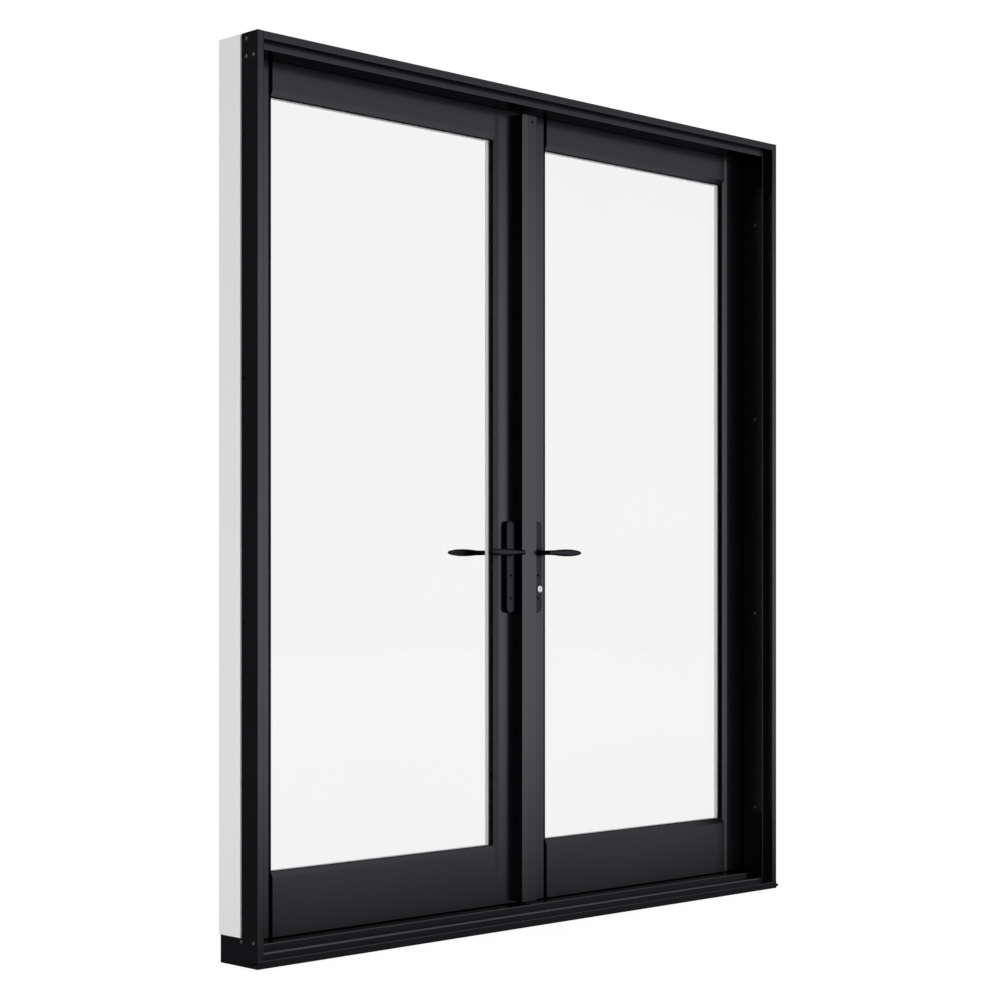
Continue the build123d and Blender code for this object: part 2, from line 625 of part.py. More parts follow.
def glazing_beads():
    """Four mitred beads that hold the glass from inside."""
    y_span = (Y_GLASS_BACK, Y_PANEL_BACK)
    ring = sight_frame(REBATE_WIDTH, y_span) - sight_frame(0, y_span) - bead_taper()
    outer = (SIGHT_INNER - REBATE_WIDTH, SIGHT_OUTER + REBATE_WIDTH,
             SIGHT_LOWER - REBATE_WIDTH, SIGHT_UPPER + REBATE_WIDTH)
    left, right, low, high = outer
    regions = [
        [(left, low), (SIGHT_INNER, SIGHT_LOWER), (SIGHT_INNER, SIGHT_UPPER), (left, high)],
        [(right, low), (SIGHT_OUTER, SIGHT_LOWER), (SIGHT_OUTER, SIGHT_UPPER), (right, high)],
        [(left, low), (SIGHT_INNER, SIGHT_LOWER), (SIGHT_OUTER, SIGHT_LOWER), (right, low)],
        [(left, high), (SIGHT_INNER, SIGHT_UPPER), (SIGHT_OUTER, SIGHT_UPPER), (right, high)],
    ]
    return group([ring & along_y(make_face(Polyline(*points, close=True)), y_span)
                  for points in regions])


# Astragal

def astragal():
    """T-shaped cover on the meeting line: fixed to the left panel, with a free leg in
    front of the right one."""
    front = Y_PANEL - ASTRAGAL_PROUD
    half = ASTRAGAL_WIDTH / 2
    points = [(-half, front + ASTRAGAL_BEVEL_DROP), (-half + ASTRAGAL_BEVEL, front), (half, front),
              (half, Y_PANEL - ASTRAGAL_SEAL_SPACE), (-X_MEET, Y_PANEL - ASTRAGAL_SEAL_SPACE),
              (-X_MEET, Y_PANEL), (-half, Y_PANEL)]
    eased = [points[index] for index in (0, 2, 3)]
    outline = eased_outline(points, eased, ASTRAGAL_EASE)
    kerf = block(around(ASTRAGAL_SEAL_INSET, KERF_WIDTH),
                 (Y_PANEL - ASTRAGAL_SEAL_SPACE - KERF_DEPTH, Y_PANEL - ASTRAGAL_SEAL_SPACE),
                 astragal_heights())
    return along_z(outline, astragal_heights()) - kerf


def astragal_heights():
    """Lower and upper end of the astragal."""
    return (Z_THRESHOLD + ASTRAGAL_LOWER_GAP, Z_HEAD_STOP - ASTRAGAL_UPPER_GAP)


def astragal_seal():
    """Weatherstrip behind the astragal's free leg."""
    outline = bulb_outline(ASTRAGAL_SEAL_INSET, Y_PANEL - ASTRAGAL_SEAL_SPACE,
                           Y_PANEL - SEAL_CLEARANCE, lambda x, y: (x, y))
    return along_z(outline, astragal_heights())


# Handles, built on the right side

def handle_bore():
    """Clearance bore for the lever spindle."""
    return rod_y(X_LEVER, LEVER_HEIGHT, (Y_PANEL, Y_PANEL_BACK), SPINDLE_BORE_RADIUS)


def outside_plate(with_cylinder):
    """Long narrow plate with round ends, bevelled all round its face."""
    outline = Pos(X_LEVER, Z_PLATE) * Rot(0, 0, 90) * SlotOverall(PLATE_LENGTH, PLATE_WIDTH)
    plate = along_y(outline, (Y_PANEL - PLATE_THICKNESS, Y_PANEL))
    plate = chamfer(plate.faces().sort_by(Axis.Y)[0].edges(), PLATE_BEVEL)
    through = (Y_PANEL - PLATE_THICKNESS, Y_PANEL)
    plate -= rod_y(X_LEVER, LEVER_HEIGHT, through, COLLAR_RADIUS + RUNNING_CLEARANCE)
    if with_cylinder:
        plate -= rod_y(X_LEVER, Z_CYLINDER, through, CYLINDER_RADIUS)
    return plate


def inside_plate(with_turn):
    """The same plate on the room side, with a bore for the thumb turn's tail."""
    plate = to_room_side(outside_plate(False))
    if with_turn:
        through = (Y_PANEL_BACK, Y_PANEL_BACK + PLATE_THICKNESS)
        plate -= rod_y(X_LEVER, Z_CYLINDER, through, PLUG_RADIUS + RUNNING_CLEARANCE)
    return plate


def to_room_side(part):
    """A handle part turned over to the inside face of the panel."""
    return mirror(part, about=Plane.XZ.offset(-Y_PANEL_MIDDLE))


def lever_section(share, height_share):
    """Eight-sided section across the lever at a share of its length."""
    half = height_share * LEVER_HEIGHT_FULL / 2
    bevel = min(LEVER_BEVEL, LEVER_BEVEL_LIMIT * half)
    ends = (LEVER_OUTLINE[0][0], LEVER_OUTLINE[-1][0])
    thinning = LEVER_END_BEVEL if share in ends else 0
    front = Y_PANEL - LEVER_PROUD + thinning
    back = Y_PANEL - LEVER_PROUD + LEVER_THICKNESS - thinning
    upper = [(front, half - bevel), (front + bevel, half), (back - bevel, half), (back, half - bevel)]
    lower = [(y, -z) for y, z in reversed(upper)]
    plane = Plane.YZ.offset(share * LEVER_LENGTH)
    return plane * make_face(Polyline(*upper, *lower, close=True))


def outside_lever():
    """Bevelled lever on a round neck and collar, pointing away from the meeting line."""
    bar = loft([lever_section(*place) for place in LEVER_OUTLINE], ruled=True)
    bar = Pos(X_LEVER, 0, LEVER_HEIGHT) * bar
    foot = Y_PANEL - RUNNING_CLEARANCE
    neck_front = Y_PANEL - LEVER_PROUD + LEVER_THICKNESS / 2
    neck = rod_y(X_LEVER, LEVER_HEIGHT, (neck_front, foot), NECK_RADIUS)
    collar_front = Y_PANEL - PLATE_THICKNESS - COLLAR_THICKNESS
    collar = rod_y(X_LEVER, LEVER_HEIGHT, (collar_front, foot), COLLAR_RADIUS)
    return bar + neck + collar - spindle()


def inside_lever():
    """The same lever on the room side."""
    return to_room_side(outside_lever())


def spindle():
    """Square bar that joins the two levers through the lock."""
    y_span = (Y_PANEL - SPINDLE_REACH, Y_PANEL_BACK + SPINDLE_REACH)
    return block(around(X_LEVER, SPINDLE_SIDE), y_span, around(LEVER_HEIGHT, SPINDLE_SIDE))


def key_cylinder():
    """Round cylinder body, proud of the plate and bored for its plug."""
    y_span = (Y_PANEL - CYLINDER_PROUD, Y_PANEL_MIDDLE - CASE_THICKNESS / 2)
    body = rod_y(X_LEVER, Z_CYLINDER, y_span, CYLINDER_RADIUS)
    body = chamfer(body.faces().sort_by(Axis.Y)[0].edges(), CYLINDER_BEVEL)
    return body - rod_y(X_LEVER, Z_CYLINDER, y_span, PLUG_RADIUS + RUNNING_CLEARANCE)


def key_plug():
    """Plug with its keyway and the flat tail that runs through the lock."""
    front = Y_PANEL - CYLINDER_PROUD
    back = Y_PANEL_MIDDLE - CASE_THICKNESS / 2 - RUNNING_CLEARANCE
    plug = rod_y(X_LEVER, Z_CYLINDER, (front, back), PLUG_RADIUS)
    plug -= block(around(X_LEVER, KEYWAY_WIDTH), (front, front + KEYWAY_DEPTH),
                  around(Z_CYLINDER, KEYWAY_HEIGHT))
    tail = block(around(X_LEVER, TAIL_THICKNESS), (back, Y_PANEL_BACK), around(Z_CYLINDER, TAIL_WIDTH))
    return plug + tail


def thumb_turn():
    """Turn knob on the room side: a round rose and a flat grip."""
    plate_face = Y_PANEL_BACK + PLATE_THICKNESS
    post = rod_y(X_LEVER, Z_CYLINDER, (Y_PANEL_BACK, plate_face + RUNNING_CLEARANCE), PLUG_RADIUS)
    rose = rod_y(X_LEVER, Z_CYLINDER,
                 (plate_face + RUNNING_CLEARANCE, plate_face + TURN_THICKNESS), TURN_ROSE_RADIUS)
    grip = block(around(X_LEVER, TURN_THICKNESS),
                 (plate_face + TURN_THICKNESS, Y_PANEL_BACK + TURN_PROUD),
                 around(Z_CYLINDER, TURN_LENGTH))
    grip = chamfer(grip.edges().filter_by(Axis.X), TURN_BEVEL)
    return post + rose + grip


# Locks, built on the right side

def strip_and_case(below_lever):
    """Metal strip in the meeting edge with the main case behind it, as one block."""
    strip = block((X_MEET, X_STRIP_BACK), around(Y_PANEL_MIDDLE, STRIP_WIDTH), Z_STRIP)
    case = block((X_STRIP_BACK, X_CASE_BACK), around(Y_PANEL_MIDDLE, CASE_THICKNESS),
                 (LEVER_HEIGHT - below_lever, LEVER_HEIGHT + CASE_ABOVE_LEVER))
    return strip + case


def tongue_boxes():
    """Boxes that guide the upper and the lower tongue."""
    reach = X_TONGUE + TONGUE_LENGTH + TONGUE_THROW + STRIP_THICKNESS
    return [block((X_STRIP_BACK, reach), around(Y_PANEL_MIDDLE, CASE_THICKNESS),
                  around(z, TONGUE_BOX_HEIGHT)) for z in (TONGUE_HEIGHTS[0], TONGUE_HEIGHTS[-1])]


def tongue_slots():
    """Guides cut for the tongues, as deep as their full stroke each way."""
    reach = X_TONGUE + TONGUE_LENGTH + TONGUE_THROW
    return [block((X_MEET, reach), around(Y_PANEL_MIDDLE, TONGUE_THICKNESS + 2 * RUNNING_CLEARANCE),
                  around(z, TONGUE_HEIGHT + 2 * RUNNING_CLEARANCE)) for z in TONGUE_HEIGHTS]


def active_lock():
    """Lock of the panel that opens first, bored for spindle and cylinder tail."""
    lock = strip_and_case(ACTIVE_CASE_BELOW_LEVER) + tongue_boxes() - tongue_slots()
    through = around(Y_PANEL_MIDDLE, CASE_THICKNESS)
    lock -= rod_y(X_LEVER, LEVER_HEIGHT, through, SPINDLE_BORE_RADIUS)
    return lock - rod_y(X_LEVER, Z_CYLINDER, through, PLUG_RADIUS)


def lock_tongues():
    """Three flat tongues with bevelled noses, driven together."""
    tongues = []
    for z in TONGUE_HEIGHTS:
        tongue = block((X_TONGUE, X_TONGUE + TONGUE_LENGTH),
                       around(Y_PANEL_MIDDLE, TONGUE_THICKNESS), around(z, TONGUE_HEIGHT))
        nose = tongue.faces().sort_by(Axis.X)[0].edges().filter_by(Axis.Z)
        tongues.append(chamfer(nose, TONGUE_BEVEL))
    return group(tongues)


def strike_slots(x_span):
    """Room for the tongues in the other panel's edge."""
    return [block(x_span, around(Y_PANEL_MIDDLE, TONGUE_THICKNESS + 2 * STRIKE_CLEARANCE),
                  around(z, TONGUE_HEIGHT + 2 * STRIKE_CLEARANCE)) for z in TONGUE_HEIGHTS]


def strike_pockets():
    """Pockets behind the strikes, deeper than the tongues reach."""
    return strike_slots((X_STRIP_BACK, X_MEET + TONGUE_THROW + STRIKE_CLEARANCE))


def passive_lock():
    """Gear of the other panel; its strip is also the strike for the tongues."""
    lock = strip_and_case(PASSIVE_CASE_BELOW_LEVER) - strike_slots((X_MEET, X_STRIP_BACK))
    return lock - rod_y(X_LEVER, LEVER_HEIGHT, around(Y_PANEL_MIDDLE, CASE_THICKNESS),
                        SPINDLE_BORE_RADIUS)


def rod_spans():
    """Lower and upper end of the lower and the upper shoot bolt at rest."""
    lower = (Z_PANEL + RUNNING_CLEARANCE,
             LEVER_HEIGHT - PASSIVE_CASE_BELOW_LEVER - ROD_THROW - 2 * RUNNING_CLEARANCE)
    upper = (LEVER_HEIGHT + CASE_ABOVE_LEVER + ROD_THROW + 2 * RUNNING_CLEARANCE,
             Z_PANEL_TOP - RUNNING_CLEARANCE)
    return [lower, upper]


def shoot_bolt(span):
    """Round rod, bevelled at both ends."""
    rod = rod_z(-X_ROD, Y_PANEL_MIDDLE, span, ROD_RADIUS)
    return chamfer(rod.edges().filter_by(GeomType.CIRCLE), ROD_BEVEL)


def keeper(z_span):
    """Keeper plate round a shoot bolt's hole."""
    return block(around(-X_ROD, KEEPER_LENGTH), around(Y_PANEL_MIDDLE, KEEPER_WIDTH), z_span)


def upper_keeper_plate():
    """Keeper let into the head's liner."""
    low = head_liner_heights()[0]
    return keeper((low, low + KEEPER_THICKNESS))


def lower_keeper_plate():
    """Keeper let into the threshold."""
    return keeper((Z_THRESHOLD - KEEPER_THICKNESS, Z_THRESHOLD))


def bored(plate):
    """A keeper with its hole."""
    return plate - rod_z(-X_ROD, Y_PANEL_MIDDLE, (0, FRAME_HEIGHT), ROD_RADIUS + KEEPER_CLEARANCE)


def panel_nodes(side, place, meeting_stile):
    """The pieces that both panels have. place puts them on the panel's own side."""
    pieces = {
        "hinge_stile": hinge_stile(),
        "meeting_stile": meeting_stile(),
        "top_rail": top_rail(),
        "bottom_rail": bottom_rail(),
        "outer_pane": outer_pane(),
        "inner_pane": inner_pane(),
        "glass_spacer": glass_spacer(),
        "glazing_gasket": glazing_gasket(),
        "glazing_beads": glazing_beads(),
        "sweep": sweep(),
        "hinge_leaves": panel_hinge_leaves(),
        "outside_plate": outside_plate(side == "active"),
        "inside_plate": inside_plate(side == "active"),
        "outside_lever": outside_lever(),
        "inside_lever": inside_lever(),
        "spindle": spindle(),
    }
    return {f"{side}_{name}": place(part) for name, part in pieces.items()}


def all_nodes():
    """Every piece of the door by name."""
    lower_rod, upper_rod = rod_spans()
    nodes = {
        "jamb_right": right_jamb(),
        "jamb_left": left_of(right_jamb()),
        "head": head(),
        "liner_right": right_liner(),
        "liner_left": left_of(right_liner()),
        "liner_head": head_liner(),
        "jamb_feet": jamb_feet(),
        "sill": sill(),
        "threshold": threshold(),
        "frame_weatherstrip": frame_weatherstrip(),
        "frame_hinge_leaves": frame_hinge_leaves(),
        "head_keeper": bored(upper_keeper_plate()),
        "sill_keeper": bored(lower_keeper_plate()),
        "astragal": astragal(),
        "astragal_seal": astragal_seal(),
        "active_lock": active_lock(),
        "passive_lock": left_of(passive_lock()),
        "lock_tongues": lock_tongues(),
        "passive_lower_bolt": shoot_bolt(lower_rod),
        "passive_upper_bolt": shoot_bolt(upper_rod),
        "key_cylinder": key_cylinder(),
        "key_plug": key_plug(),
        "thumb_turn": thumb_turn(),
    }
    nodes.update(panel_nodes("active", lambda part: part, active_meeting_stile))
    nodes.update(panel_nodes("passive", left_of, passive_meeting_stile))
    return nodes


os.makedirs("parts", exist_ok=True)
for name, part in all_nodes().items():
    export_step(part, f"parts/{name}.step")
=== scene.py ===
import math

import bpy
from mathutils import Matrix, Vector


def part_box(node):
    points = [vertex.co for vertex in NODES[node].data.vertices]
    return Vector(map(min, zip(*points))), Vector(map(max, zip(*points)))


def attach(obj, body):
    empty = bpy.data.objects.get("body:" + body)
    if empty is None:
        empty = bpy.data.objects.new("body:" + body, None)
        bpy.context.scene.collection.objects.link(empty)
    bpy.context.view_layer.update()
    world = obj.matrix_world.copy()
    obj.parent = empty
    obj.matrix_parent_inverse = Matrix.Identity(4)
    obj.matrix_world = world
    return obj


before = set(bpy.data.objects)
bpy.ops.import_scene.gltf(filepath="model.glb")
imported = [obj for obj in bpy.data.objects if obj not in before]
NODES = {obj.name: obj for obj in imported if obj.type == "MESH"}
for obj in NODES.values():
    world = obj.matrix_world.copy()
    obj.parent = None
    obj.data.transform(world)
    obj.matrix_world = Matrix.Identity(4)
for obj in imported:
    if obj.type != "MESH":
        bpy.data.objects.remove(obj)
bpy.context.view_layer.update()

bl_info = {
    "name": "Double patio door",
    "version": (1, 0, 0),
    "blender": (4, 5, 0),
    "location": "3D View > Sidebar > Door",
    "description": "Finishes and small fittings for a double hinged patio door",
    "category": "Object",
}

SIDES = ("active", "passive")

# Camera of the photograph, in metres from the door's origin
CAMERA_PLACE = (-3.862, -3.873, 0.865)
CAMERA_HEADING = math.radians(44.19)
CAMERA_LENS = 77.76
CAMERA_SENSOR = 36.0
HORIZON_SHIFT = 0.0793

# Share of light that a glass face throws back when seen head-on
HEAD_ON_GLOSS = 0.004

# The black finishes have almost no colour of their own: they are a dark, even sheen.
# This grey keeps the sheen level from head-on to a low angle.
SHEEN_EDGE = (0.35, 0.35, 0.35, 1.0)

# Stretch of a pattern along a lineal or a brushed part, height of the die lines and of
# the orange peel in metres, and the mean of a noise
DRAWN_OUT = 0.012
PAINT_RELIEF = 0.000008
NOISE_MEAN = 0.5

# Roughness of the finishes, and what the panels' white room side adds to it
SATIN = 0.24
SILL_SATIN = 0.18
ASTRAGAL_SATIN = 0.22
LEVER_SATIN = 0.22
WHITE_SATIN = 0.38
SILVER_SATIN = 0.22
SCREW_SATIN = 0.3
PLATE_SCREW_DULL = 0.5
ROOM_SIDE_DULLER = 0.12

# Bare metals
BOLT_STEEL = (0.6, 0.6, 0.61)
LOCK_STEEL = (0.5, 0.5, 0.51)
STRIP_SCREW_STEEL = (0.55, 0.55, 0.56)
ZINC = (0.62, 0.62, 0.63)
SILVER = (0.84, 0.84, 0.85)

# Tones as a share of the colour that a user sets
ASTRAGAL_LIGHTER = 1.1
# Beads: a lighter copy of the room white, painted light that lifts them out of the shade they sit
# in behind the glass
BEAD_PAINTED_LIGHT = 1.1
# Caps: the frame black made lighter, a painted highlight for the light their domes catch
CAP_PAINTED_HIGHLIGHT = 3.5
PLATE_SCREW_DARKER = 0.5

# Depth of the white on the panels' room side, in metres
ROOM_SKIN = 0.002

# Shapes of the small fittings, as shares of their radius and height. Steps hold an inset
# and a rise.
ROUND_SIDES = 32
LOOKS_UP = 0.9                          # upward part of an upper face's normal
HEAD_STEPS = ((0.18, 0.22), (0.20, 0.08))
RECESS_LENGTH = 1.1
RECESS_WIDTH = 0.24
RECESS_CENTRE = 1.25
CAP_RIM = 0.25
CAP_STEPS = ((0.20, 0.30), (0.22, 0.28))
CAP_EDGE_ANGLE = math.radians(50)       # edges up to this angle are smooth

# Places of the small fittings, in metres. Side screws hold a depth behind the outside
# flange and a height.
PLATE_SCREW_RISES = (0.037, 0.095)      # above the lower end of the plate
ASTRAGAL_SCREW_INSET = 0.0155           # from its right edge
ASTRAGAL_SCREW_DROP = 0.0154            # below its upper end
SIDE_SCREWS = ((0.014, 2.029), (0.040, 2.029), (0.040, 2.0685), (0.014, 0.057), (0.0585, 0.0555))
FIXING_END = 0.225                      # first and last hole from the frame's ends
FIXING_COUNT = 4
FIXING_DEPTH = 0.050                    # behind the outside flange
CAP_SINK = 0.0022                       # base of a cap below the wall it closes
LEAF_HALF = 0.050                       # half the length of a hinge leaf
LEAF_SCREWS = ((0.012, -0.034), (0.023, 0.0), (0.012, 0.034))   # depth in, rise from middle
STRIP_SCREW_END = 0.012                 # from the ends of the lock strip
STRIP_SCREW_HEIGHTS = (0.640, 1.020)    # below and above the middle lock case
KEEPER_SCREW_INSET = 0.010              # from the ends of a keeper

# What the gloss sees of the studio, in metres: a bright wall in front of the door, the
# heights between which it darkens upwards, the places between which it brightens to the
# right, and how fast the floor brightens away from a painted shade of the door next to it
WALL_DISTANCE = 4.0
WALL_SPAN = (-7.0, 13.0)
WALL_HEIGHT = 4.2
WALL_DARKENS = (2.3, 4.0)
WALL_BRIGHTENS = (-3.4, 1.4)
WALL_LEFT_SHARE = 0.12
FLOOR_BRIGHTENS = 0.44

# Strengths that the gloss sees elsewhere: behind and to the left, to the right, overhead.
# Each turn holds the parts of a direction, rightwards or upwards, between which one
# strength goes over into the next.
DARK_SIDE = 0.095
RIGHT_SIDE = 0.18
RIGHT_TURN = (0.0, 0.9)
OVERHEAD = 0.6
OVERHEAD_TURN = (0.35, 0.55)

# Lamps: size, place and the point they face, in metres
KEY_LAMP = (3.0, (3.4, -4.2, 3.4), (0.0, 0.0, 1.1))
FILL_LAMP = (1.6, (-2.6, -0.6, 0.3), (-0.9, 0.0, 0.5))

# Floor: its width in metres, and a strength just past white to the camera
FLOOR_SIZE = 30
FLOOR_WHITE = 1.04


class Wire:
    """A socket whose arithmetic adds Math nodes."""

    def __init__(self, maker, socket):
        self.maker = maker
        self.socket = socket

    def calc(self, operation, first, second):
        return self.maker.add("ShaderNodeMath", {"operation": operation}, [first, second])

    def __add__(self, other):
        return self.calc("ADD", self, other)

    def __radd__(self, other):
        return self.calc("ADD", other, self)

    def __sub__(self, other):
        return self.calc("SUBTRACT", self, other)

    def __rsub__(self, other):
        return self.calc("SUBTRACT", other, self)

    def __mul__(self, other):
        return self.calc("MULTIPLY", self, other)

    def __rmul__(self, other):
        return self.calc("MULTIPLY", other, self)

    def __gt__(self, other):
        return self.calc("GREATER_THAN", self, other)

    def __lt__(self, other):
        return self.calc("LESS_THAN", self, other)


class Finish:
    """Builds one material's node tree."""

    def __init__(self, name, tree=None):
        if tree is None:
            self.material = bpy.data.materials.new(name)
            self.material.use_nodes = True
            tree = self.material.node_tree
        self.tree = tree
        self.tree.nodes.clear()

    def add(self, kind, settings, inputs, output=0):
        """One node: its settings first, then the values or links of its sockets."""
        node = self.tree.nodes.new(kind)
        for name, value in settings.items():
            setattr(node, name, value)
        pairs = inputs.items() if isinstance(inputs, dict) else enumerate(inputs)
        for key, value in pairs:
            if isinstance(value, Wire):
                self.tree.links.new(value.socket, node.inputs[key])
            elif value is not None:
                node.inputs[key].default_value = value
        return Wire(self, node.outputs[output]) if node.outputs else node

    def place(self):
        """Object coordinates in metres."""
        return self.add("ShaderNodeTexCoord", {}, {}, "Object")

    def axis(self, name):
        """One of the object coordinates."""
        return self.add("ShaderNodeSeparateXYZ", {}, [self.place()], name)

    def noise(self, scale, detail, along=""):
        """Noise of so many features per metre, drawn out along one axis if that is given."""
        stretch = [DRAWN_OUT if axis == along else 1.0 for axis in "XYZ"]
        mapped = self.add("ShaderNodeMapping", {}, {"Vector": self.place(), "Scale": stretch})
        return self.add("ShaderNodeTexNoise", {},
                        {"Vector": mapped, "Scale": scale, "Detail": detail}, "Fac")

    def drift(self, noise, amount):
        """How far a noise moves a value to either side."""
        return (noise - NOISE_MEAN) * amount

    def bump(self, height, distance, strength, below=None):
        """A bump from a height; below is the normal it lies on."""
        return self.add("ShaderNodeBump", {}, {"Height": height, "Distance": distance,
                                               "Strength": strength, "Normal": below})

    def ramp(self, value, edges):
        """Rises smoothly from 0 to 1 between two values."""
        low, high = edges
        return self.add("ShaderNodeMapRange", {"interpolation_type": "SMOOTHSTEP"},
                        {"Value": value, "From Min": low, "From Max": high}, "Result")

    def blend(self, factor, low, high):
        """A colour between two, given as links or as red, green, blue and alpha."""
        return self.add("ShaderNodeMix", {"data_type": "RGBA"},
                        {"Factor": factor, "A": low, "B": high}, "Result")

    def tones(self, factor, tone, low, high=1.0):
        """A colour between two strengths of one tone."""
        return self.blend(factor, (*shade(tone, low), 1), (*shade(tone, high), 1))

    def close(self, shader):
        """Joins a shader to the output."""
        self.add("ShaderNodeOutputMaterial", {}, [shader])
        return self.material

    def surface(self, **inputs):
        """Closes the material with the principled shader, its sockets by plain names."""
        sockets = {"Base Color": inputs.get("color"), "Roughness": inputs.get("roughness"),
                   "Metallic": inputs.get("metallic"), "Normal": inputs.get("normal"),
                   "IOR": inputs.get("ior"), "Specular Tint": inputs.get("edge")}
        return self.close(self.add("ShaderNodeBsdfPrincipled", {}, sockets))


# Finishes

def shade(tone, share):
    """A lighter or darker tone."""
    return [channel * share for channel in tone]


def paint_relief(finish, lines, peel):
    """Die lines with orange peel over them."""
    normal = finish.bump(lines, distance=PAINT_RELIEF, strength=0.5)
    return finish.bump(peel, distance=PAINT_RELIEF, strength=0.5, below=normal)


def drawn_black(name, tone, along, roughness=SATIN):
    """Satin black pultruded fiberglass: faint die lines along the lineal, orange peel
    under the paint and a slow change of gloss."""
    finish = Finish(name)
    lines = finish.noise(scale=260, detail=4, along=along)
    peel = finish.noise(scale=420, detail=2)
    cloud = finish.noise(scale=5, detail=2)
    return finish.surface(
        color=finish.tones(cloud, tone, low=0.94, high=1.06),
        roughness=roughness + finish.drift(cloud, 0.06) + finish.drift(lines, 0.04),
        metallic=1.0, edge=SHEEN_EDGE, normal=paint_relief(finish, lines, peel))


def two_tone_panel(name, outside, inside, split, along):
    """Panel members: satin black outside and at the edges, white on the room side."""
    finish = Finish(name)
    lines = finish.noise(scale=240, detail=4, along=along)
    peel = finish.noise(scale=400, detail=2)
    cloud = finish.noise(scale=4, detail=2)
    room = finish.axis("Y") > split
    black = finish.tones(cloud, outside, low=0.94, high=1.06)
    white = finish.tones(cloud, inside, low=0.98)
    satin = SATIN + room * ROOM_SIDE_DULLER
    return finish.surface(
        color=finish.blend(room, black, white),
        roughness=satin + finish.drift(cloud, 0.06) + finish.drift(lines, 0.04),
        metallic=1.0 - room, edge=SHEEN_EDGE, normal=paint_relief(finish, lines, peel))


def white_satin(name, tone, along):
    """White liner and beads: smooth satin with a hint of brush along the length."""
    finish = Finish(name)
    brush = finish.noise(scale=320, detail=3, along=along)
    cloud = finish.noise(scale=3, detail=2)
    return finish.surface(
        color=finish.tones(cloud, tone, low=0.975),
        roughness=WHITE_SATIN + finish.drift(brush, 0.1),
        normal=finish.bump(brush, distance=0.00004, strength=0.4))


def seal_rubber(name, tone):
    """Matt black foam and rubber with a fine skin."""
    finish = Finish(name)
    skin = finish.noise(scale=900, detail=3)
    return finish.surface(
        color=finish.tones(skin, tone, low=0.7, high=1.3),
        roughness=0.62 + skin * 0.15, ior=1.25,
        normal=finish.bump(skin, distance=0.00006, strength=0.6))


def powder_black(name, tone, roughness=0.26):
    """Powder-coated metal with a fine even texture."""
    finish = Finish(name)
    grit = finish.noise(scale=1800, detail=2)
    cloud = finish.noise(scale=12, detail=2)
    return finish.surface(
        color=finish.tones(cloud, tone, low=0.9, high=1.1),
        roughness=roughness + finish.drift(grit, 0.08) + finish.drift(cloud, 0.05),
        metallic=1.0, edge=SHEEN_EDGE, normal=finish.bump(grit, distance=0.00002, strength=0.5))


def brushed_metal(name, tone, along, roughness=0.28):
    """Bare metal with brush marks along one axis."""
    finish = Finish(name)
    brush = finish.noise(scale=1400, detail=4, along=along)
    return finish.surface(
        color=finish.tones(brush, tone, low=0.88),
        roughness=roughness + finish.drift(brush, 0.2),
        metallic=1.0, normal=finish.bump(brush, distance=0.00002, strength=0.6))


def clear_pane(name, tone):
    """Thin clear glass: straight through, with the gloss of its faces."""
    finish = Finish(name)
    haze = finish.noise(scale=2.5, detail=2)
    color = finish.tones(haze, tone, low=0.995)
    through = finish.add("ShaderNodeBsdfTransparent", {}, {"Color": color})
    mirror = finish.add("ShaderNodeBsdfGlossy", {}, {"Color": (1, 1, 1, 1), "Roughness": 0.01})
    facing = finish.add("ShaderNodeLayerWeight", {}, {"Blend": 0.5}, "Facing")
    share = HEAD_ON_GLOSS + facing.calc("POWER", facing, 5.0) * (1.0 - HEAD_ON_GLOSS)
    shader = finish.add("ShaderNodeMixShader", {}, [share, through, mirror])
    return finish.close(shader)


# Mesh helpers

def deselect():
    if bpy.context.object and bpy.context.object.mode != "OBJECT":
        bpy.ops.object.mode_set(mode="OBJECT")
    bpy.ops.object.select_all(action="DESELECT")


def only(obj):
    """Makes one object the selected and active one."""
    deselect()
    obj.select_set(True)
    bpy.context.view_layer.objects.active = obj


def dress(names, material):
    """Gives CAD nodes their finished material."""
    for name in names:
        node = NODES[name]
        node.data.materials.clear()
        node.data.materials.append(material)


def settle(obj):
    """Moves an object's place into its mesh."""
    only(obj)
    bpy.ops.object.transform_apply(location=True, rotation=True, scale=True)


def select_faces(obj, test):
    """In edit mode, selects the faces whose centre and normal pass a test."""
    bpy.ops.object.mode_set(mode="OBJECT")
    for face in obj.data.polygons:
        face.select = test(face.center, face.normal)
    bpy.ops.object.mode_set(mode="EDIT")


def round_blank(name, radius, height):
    """A short cylinder on z = 0, left in edit mode with its upper face selected."""
    deselect()
    bpy.ops.mesh.primitive_cylinder_add(vertices=ROUND_SIDES, radius=radius, depth=height,
                                        location=(0, 0, height / 2))
    blank = bpy.context.object
    blank.name = name
    bpy.ops.object.mode_set(mode="EDIT")
    bpy.context.tool_settings.mesh_select_mode = (False, False, True)
    select_faces(blank, lambda centre, normal: normal.z > LOOKS_UP)
    return blank


def raise_steps(radius, height, steps):
    """In edit mode, insets and lifts the selected face again and again."""
    for inset, rise in steps:
        bpy.ops.mesh.inset(thickness=radius * inset)
        bpy.ops.transform.translate(value=(0, 0, height * rise))


def pan_screw(name, radius, height):
    """A domed screw head with a cross recess, standing on z = 0 and facing +z."""
    head = round_blank(name, radius, height)
    raise_steps(radius, height, HEAD_STEPS)
    bpy.ops.object.mode_set(mode="OBJECT")
    slot = (radius * RECESS_LENGTH, radius * RECESS_WIDTH, height)
    for turn in (0, math.pi / 2):
        cut_slot(head, slot, (0, 0, height * RECESS_CENTRE), turn)
    return head


